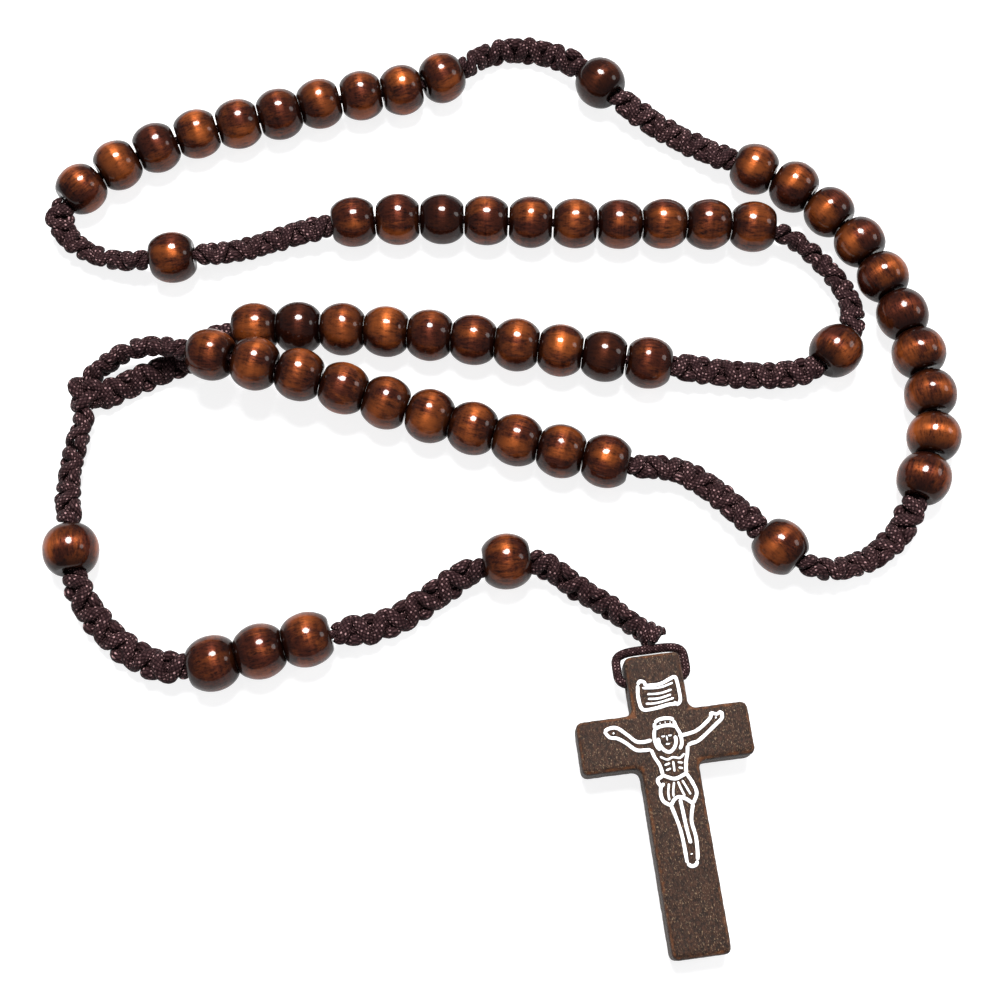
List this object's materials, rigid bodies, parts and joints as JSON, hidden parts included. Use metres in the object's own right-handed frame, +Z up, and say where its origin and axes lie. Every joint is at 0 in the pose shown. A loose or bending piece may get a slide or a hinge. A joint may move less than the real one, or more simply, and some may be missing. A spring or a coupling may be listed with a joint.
{
  "type": "rosary",
  "caption": "Rosary of round wooden beads strung on knotted cord, with a flat wooden cross on a short pendant string, laid out flat.",
  "frame": {"origin": "on the surface the rosary lies on, under the middle of the box round its beads and cross", "axes": "+X to the right and +Y away as the rosary is seen with the cross at the near right, +Z up"},
  "size_m": [0.1381, 0.1448, 0.0115],
  "materials": {
    "bead_wood": "dark reddish brown stain under gloss lacquer",
    "cross_wood": "matte dark brown stain, worn along the edges",
    "cord": "dark plum-brown braided nylon"
  },
  "bodies": {
    "loop": {"loop_core_cord": "cord", "loop_knotted_cord": "cord", "centre_knot": "cord", "pendant_stub_cord": "cord"},
    "pendant_upper": {"pendant_upper_cord": "cord"},
    "pendant_lower": {"pendant_lower_cord": "cord"},
    "cross_cord": {"cross_loop": "cord"},
    "cross": {"cross": "cross_wood"},
    "decade_1_bead_01": {"decade_1_bead_01": "bead_wood"},
    "decade_1_bead_02": {"decade_1_bead_02": "bead_wood"},
    "decade_1_bead_03": {"decade_1_bead_03": "bead_wood"},
    "decade_1_bead_04": {"decade_1_bead_04": "bead_wood"},
    "decade_1_bead_05": {"decade_1_bead_05": "bead_wood"},
    "decade_1_beads_06_07": {"decade_1_beads_06_07": "bead_wood"},
    "decade_1_bead_08": {"decade_1_bead_08": "bead_wood"},
    "decade_1_bead_09": {"decade_1_bead_09": "bead_wood"},
    "decade_1_bead_10": {"decade_1_bead_10": "bead_wood"},
    "our_father_bead_1": {"our_father_bead_1": "bead_wood"},
    "decade_2_bead_01": {"decade_2_bead_01": "bead_wood"},
    "decade_2_bead_02": {"decade_2_bead_02": "bead_wood"},
    "decade_2_bead_03": {"decade_2_bead_03": "bead_wood"},
    "decade_2_bead_04": {"decade_2_bead_04": "bead_wood"},
    "decade_2_bead_05": {"decade_2_bead_05": "bead_wood"},
    "decade_2_beads_06_07": {"decade_2_beads_06_07": "bead_wood"},
    "decade_2_bead_08": {"decade_2_bead_08": "bead_wood"},
    "decade_2_bead_09": {"decade_2_bead_09": "bead_wood"},
    "decade_2_bead_10": {"decade_2_bead_10": "bead_wood"},
    "our_father_bead_2": {"our_father_bead_2": "bead_wood"},
    "decade_3_bead_01": {"decade_3_bead_01": "bead_wood"},
    "decade_3_bead_02": {"decade_3_bead_02": "bead_wood"},
    "decade_3_bead_03": {"decade_3_bead_03": "bead_wood"},
    "decade_3_bead_04": {"decade_3_bead_04": "bead_wood"},
    "decade_3_bead_05": {"decade_3_bead_05": "bead_wood"},
    "decade_3_beads_06_07": {"decade_3_beads_06_07": "bead_wood"},
    "decade_3_bead_08": {"decade_3_bead_08": "bead_wood"},
    "decade_3_bead_09": {"decade_3_bead_09": "bead_wood"},
    "decade_3_bead_10": {"decade_3_bead_10": "bead_wood"},
    "our_father_bead_3": {"our_father_bead_3": "bead_wood"},
    "decade_4_bead_01": {"decade_4_bead_01": "bead_wood"},
    "decade_4_bead_02": {"decade_4_bead_02": "bead_wood"},
    "decade_4_bead_03": {"decade_4_bead_03": "bead_wood"},
    "decade_4_bead_04": {"decade_4_bead_04": "bead_wood"},
    "decade_4_bead_05": {"decade_4_bead_05": "bead_wood"},
    "decade_4_beads_06_07": {"decade_4_beads_06_07": "bead_wood"},
    "decade_4_bead_08": {"decade_4_bead_08": "bead_wood"},
    "decade_4_bead_09": {"decade_4_bead_09": "bead_wood"},
    "decade_4_bead_10": {"decade_4_bead_10": "bead_wood"},
    "our_father_bead_4": {"our_father_bead_4": "bead_wood"},
    "decade_5_bead_01": {"decade_5_bead_01": "bead_wood"},
    "decade_5_bead_02": {"decade_5_bead_02": "bead_wood"},
    "decade_5_bead_03": {"decade_5_bead_03": "bead_wood"},
    "decade_5_bead_04": {"decade_5_bead_04": "bead_wood"},
    "decade_5_bead_05": {"decade_5_bead_05": "bead_wood"},
    "decade_5_beads_06_07": {"decade_5_beads_06_07": "bead_wood"},
    "decade_5_bead_08": {"decade_5_bead_08": "bead_wood"},
    "decade_5_bead_09": {"decade_5_bead_09": "bead_wood"},
    "decade_5_bead_10": {"decade_5_bead_10": "bead_wood"},
    "pendant_upper_bead": {"pendant_upper_bead": "bead_wood"},
    "pendant_three_beads": {"pendant_three_beads": "bead_wood"},
    "pendant_lower_bead": {"pendant_lower_bead": "bead_wood"}
  },
  "joints": [
    {"name": "pendant_upper_bend", "type": "hinge", "parent": "loop", "child": "pendant_upper", "pos_m": [-0.0617, -0.0015, 0.0023], "axis": [0, 0, 1], "range_deg": [-25, 3]},
    {"name": "pendant_lower_bend", "type": "hinge", "parent": "pendant_upper", "child": "pendant_lower", "pos_m": [-0.0115, -0.0232, 0.0023], "axis": [0, 0, 1], "range_deg": [-25, 5]},
    {"name": "cross_swing", "type": "hinge", "parent": "pendant_lower", "child": "cross_cord", "pos_m": [0.0183, -0.0243, 0.00285], "axis": [0, 0, 1], "range_deg": [-20, 10]},
    {"name": "cross_flip", "type": "hinge", "parent": "cross_cord", "child": "cross", "pos_m": [0.022, -0.0338, 0.00398], "axis": [-0.9912, -0.1321, -0.0055], "range_deg": [0, 120]},
    {"name": "spin_decade_1_bead_01", "type": "hinge", "parent": "loop", "child": "decade_1_bead_01", "pos_m": [-0.0359, 0.02056, 0.004], "axis": [0.9999, 0.0164, 0], "continuous": true},
    {"name": "spin_decade_1_bead_02", "type": "hinge", "parent": "loop", "child": "decade_1_bead_02", "pos_m": [-0.0293, 0.02062, 0.004], "axis": [1, -0.009, 0], "continuous": true},
    {"name": "spin_decade_1_bead_03", "type": "hinge", "parent": "loop", "child": "decade_1_bead_03", "pos_m": [-0.0227, 0.02042, 0.004], "axis": [0.9986, -0.0532, 0], "continuous": true},
    {"name": "spin_decade_1_bead_04", "type": "hinge", "parent": "loop", "child": "decade_1_bead_04", "pos_m": [-0.01611, 0.02002, 0.004], "axis": [0.9972, -0.0742, 0], "continuous": true},
    {"name": "spin_decade_1_bead_05", "type": "hinge", "parent": "loop", "child": "decade_1_bead_05", "pos_m": [-0.00954, 0.01941, 0.004], "axis": [0.994, -0.1096, 0], "continuous": true},
    {"name": "spin_decade_1_beads_06_07", "type": "hinge", "parent": "loop", "child": "decade_1_beads_06_07", "pos_m": [0.00029, 0.0182, 0.004], "axis": [0.9915, -0.1298, 0], "continuous": true},
    {"name": "spin_decade_1_bead_08", "type": "hinge", "parent": "loop", "child": "decade_1_bead_08", "pos_m": [0.01009, 0.01685, 0.004], "axis": [0.9892, -0.1466, 0.0026], "continuous": true},
    {"name": "spin_decade_1_bead_09", "type": "hinge", "parent": "loop", "child": "decade_1_bead_09", "pos_m": [0.01661, 0.01582, 0.00404], "axis": [0.9866, -0.1631, 0.0072], "continuous": true},
    {"name": "spin_decade_1_bead_10", "type": "hinge", "parent": "loop", "child": "decade_1_bead_10", "pos_m": [0.02313, 0.01478, 0.00401], "axis": [0.9905, -0.1206, -0.0655], "continuous": true},
    {"name": "spin_our_father_bead_1", "type": "hinge", "parent": "loop", "child": "our_father_bead_1", "pos_m": [0.05131, 0.01681, 0.004], "axis": [0.6961, 0.7179, 0], "continuous": true},
    {"name": "spin_decade_2_bead_01", "type": "hinge", "parent": "loop", "child": "decade_2_bead_01", "pos_m": [0.04026, 0.03828, 0.004], "axis": [-0.9972, 0.0748, 0], "continuous": true},
    {"name": "spin_decade_2_bead_02", "type": "hinge", "parent": "loop", "child": "decade_2_bead_02", "pos_m": [0.03338, 0.03873, 0.004], "axis": [-0.9991, 0.0413, 0], "continuous": true},
    {"name": "spin_decade_2_bead_03", "type": "hinge", "parent": "loop", "child": "decade_2_bead_03", "pos_m": [0.02648, 0.03882, 0.004], "axis": [-0.9999, -0.0154, 0], "continuous": true},
    {"name": "spin_decade_2_bead_04", "type": "hinge", "parent": "loop", "child": "decade_2_bead_04", "pos_m": [0.01958, 0.03876, 0.004], "axis": [-1, 0.0054, 0], "continuous": true},
    {"name": "spin_decade_2_bead_05", "type": "hinge", "parent": "loop", "child": "decade_2_bead_05", "pos_m": [0.01268, 0.03889, 0.004], "axis": [-0.9995, 0.0308, 0], "continuous": true},
    {"name": "spin_decade_2_beads_06_07", "type": "hinge", "parent": "loop", "child": "decade_2_beads_06_07", "pos_m": [0.00234, 0.03928, 0.004], "axis": [-0.9991, 0.0431, 0], "continuous": true},
    {"name": "spin_decade_2_bead_08", "type": "hinge", "parent": "loop", "child": "decade_2_bead_08", "pos_m": [-0.008, 0.03965, 0.004], "axis": [-0.9999, 0.0129, 0], "continuous": true},
    {"name": "spin_decade_2_bead_09", "type": "hinge", "parent": "loop", "child": "decade_2_bead_09", "pos_m": [-0.0149, 0.03963, 0.004], "axis": [-0.9999, -0.014, 0], "continuous": true},
    {"name": "spin_decade_2_bead_10", "type": "hinge", "parent": "loop", "child": "decade_2_bead_10", "pos_m": [-0.02178, 0.03915, 0.004], "axis": [-0.9929, -0.1191, 0], "continuous": true},
    {"name": "spin_our_father_bead_2", "type": "hinge", "parent": "loop", "child": "our_father_bead_2", "pos_m": [-0.04938, 0.03283, 0.004], "axis": [-0.9915, -0.1298, 0], "continuous": true},
    {"name": "spin_decade_3_bead_01", "type": "hinge", "parent": "loop", "child": "decade_3_bead_01", "pos_m": [-0.06463, 0.04523, 0.004], "axis": [0.7026, 0.7115, 0], "continuous": true},
    {"name": "spin_decade_3_bead_02", "type": "hinge", "parent": "loop", "child": "decade_3_bead_02", "pos_m": [-0.05946, 0.04954, 0.004], "axis": [0.8293, 0.5588, 0], "continuous": true},
    {"name": "spin_decade_3_bead_03", "type": "hinge", "parent": "loop", "child": "decade_3_bead_03", "pos_m": [-0.05359, 0.05283, 0.004], "axis": [0.895, 0.446, 0], "continuous": true},
    {"name": "spin_decade_3_bead_04", "type": "hinge", "parent": "loop", "child": "decade_3_bead_04", "pos_m": [-0.04738, 0.05545, 0.004], "axis": [0.9446, 0.3283, 0], "continuous": true},
    {"name": "spin_decade_3_bead_05", "type": "hinge", "parent": "loop", "child": "decade_3_bead_05", "pos_m": [-0.04091, 0.05734, 0.004], "axis": [0.9632, 0.2689, 0], "continuous": true},
    {"name": "spin_decade_3_beads_06_07", "type": "hinge", "parent": "loop", "child": "decade_3_beads_06_07", "pos_m": [-0.03123, 0.06025, 0.004], "axis": [0.9539, 0.3001, 0], "continuous": true},
    {"name": "spin_decade_3_bead_08", "type": "hinge", "parent": "loop", "child": "decade_3_bead_08", "pos_m": [-0.02146, 0.06281, 0.004], "axis": [0.9845, 0.1756, 0], "continuous": true},
    {"name": "spin_decade_3_bead_09", "type": "hinge", "parent": "loop", "child": "decade_3_bead_09", "pos_m": [-0.01482, 0.06393, 0.004], "axis": [0.9715, 0.2369, 0], "continuous": true},
    {"name": "spin_decade_3_bead_10", "type": "hinge", "parent": "loop", "child": "decade_3_bead_10", "pos_m": [-0.00851, 0.06628, 0.004], "axis": [0.9032, 0.4292, -0.0096], "continuous": true},
    {"name": "spin_our_father_bead_3", "type": "hinge", "parent": "loop", "child": "our_father_bead_3", "pos_m": [0.01727, 0.06532, 0.004], "axis": [0.6854, -0.7282, 0], "continuous": true},
    {"name": "spin_decade_4_bead_01", "type": "hinge", "parent": "loop", "child": "decade_4_bead_01", "pos_m": [0.04124, 0.04881, 0.004], "axis": [0.898, -0.44, 0], "continuous": true},
    {"name": "spin_decade_4_bead_02", "type": "hinge", "parent": "loop", "child": "decade_4_bead_02", "pos_m": [0.04722, 0.0455, 0.004], "axis": [0.8184, -0.5746, 0], "continuous": true},
    {"name": "spin_decade_4_bead_03", "type": "hinge", "parent": "loop", "child": "decade_4_bead_03", "pos_m": [0.05231, 0.04094, 0.004], "axis": [0.6866, -0.727, 0], "continuous": true},
    {"name": "spin_decade_4_bead_04", "type": "hinge", "parent": "loop", "child": "decade_4_bead_04", "pos_m": [0.05654, 0.03557, 0.004], "axis": [0.5273, -0.8497, 0], "continuous": true},
    {"name": "spin_decade_4_bead_05", "type": "hinge", "parent": "loop", "child": "decade_4_bead_05", "pos_m": [0.05954, 0.02942, 0.004], "axis": [0.3814, -0.9244, 0], "continuous": true},
    {"name": "spin_decade_4_beads_06_07", "type": "hinge", "parent": "loop", "child": "decade_4_beads_06_07", "pos_m": [0.06276, 0.01967, 0.004], "axis": [0.2629, -0.9648, 0], "continuous": true},
    {"name": "spin_decade_4_bead_08", "type": "hinge", "parent": "loop", "child": "decade_4_bead_08", "pos_m": [0.06463, 0.0096, 0.004], "axis": [0.0607, -0.9982, 0], "continuous": true},
    {"name": "spin_decade_4_bead_09", "type": "hinge", "parent": "loop", "child": "decade_4_bead_09", "pos_m": [0.06438, 0.00277, 0.004], "axis": [-0.1794, -0.9838, 0], "continuous": true},
    {"name": "spin_decade_4_bead_10", "type": "hinge", "parent": "loop", "child": "decade_4_bead_10", "pos_m": [0.06224, -0.00372, 0.004], "axis": [-0.3779, -0.9258, 0], "continuous": true},
    {"name": "spin_our_father_bead_4", "type": "hinge", "parent": "loop", "child": "our_father_bead_4", "pos_m": [0.04071, -0.01421, 0.004], "axis": [-0.717, 0.6971, 0], "continuous": true},
    {"name": "spin_decade_5_bead_01", "type": "hinge", "parent": "loop", "child": "decade_5_bead_01", "pos_m": [0.01641, -0.00111, 0.004], "axis": [-0.9733, 0.2296, 0], "continuous": true},
    {"name": "spin_decade_5_bead_02", "type": "hinge", "parent": "loop", "child": "decade_5_bead_02", "pos_m": [0.00992, 0.00047, 0.004], "axis": [-0.9682, 0.25, 0], "continuous": true},
    {"name": "spin_decade_5_bead_03", "type": "hinge", "parent": "loop", "child": "decade_5_bead_03", "pos_m": [0.00347, 0.00223, 0.004], "axis": [-0.963, 0.2696, 0], "continuous": true},
    {"name": "spin_decade_5_bead_04", "type": "hinge", "parent": "loop", "child": "decade_5_bead_04", "pos_m": [-0.00295, 0.00408, 0.00403], "axis": [-0.9585, 0.2849, 0.0083], "continuous": true},
    {"name": "spin_decade_5_bead_05", "type": "hinge", "parent": "loop", "child": "decade_5_bead_05", "pos_m": [-0.00933, 0.00603, 0.00411], "axis": [-0.9545, 0.2978, 0.0153], "continuous": true},
    {"name": "spin_decade_5_beads_06_07", "type": "hinge", "parent": "loop", "child": "decade_5_beads_06_07", "pos_m": [-0.01887, 0.00894, 0.00499], "axis": [-0.9476, 0.2826, 0.1488], "continuous": true},
    {"name": "spin_decade_5_bead_08", "type": "hinge", "parent": "loop", "child": "decade_5_bead_08", "pos_m": [-0.0284, 0.01155, 0.00659], "axis": [-0.963, 0.2178, 0.1586], "continuous": true},
    {"name": "spin_decade_5_bead_09", "type": "hinge", "parent": "loop", "child": "decade_5_bead_09", "pos_m": [-0.03488, 0.0129, 0.0075], "axis": [-0.975, 0.2107, 0.0706], "continuous": true},
    {"name": "spin_decade_5_bead_10", "type": "hinge", "parent": "loop", "child": "decade_5_bead_10", "pos_m": [-0.04138, 0.01441, 0.00738], "axis": [-0.9686, 0.2368, -0.0753], "continuous": true},
    {"name": "spin_pendant_upper_bead", "type": "hinge", "parent": "pendant_upper", "child": "pendant_upper_bead", "pos_m": [-0.05975, -0.0147, 0.004], "axis": [0.1495, -0.9888, 0], "continuous": true},
    {"name": "spin_pendant_three_beads", "type": "hinge", "parent": "pendant_upper", "child": "pendant_three_beads", "pos_m": [-0.03208, -0.02946, 0.004], "axis": [0.9669, 0.2552, 0], "continuous": true},
    {"name": "spin_pendant_lower_bead", "type": "hinge", "parent": "pendant_lower", "child": "pendant_lower_bead", "pos_m": [0.00192, -0.01642, 0.004], "axis": [0.9904, 0.1382, 0], "continuous": true}
  ]
}
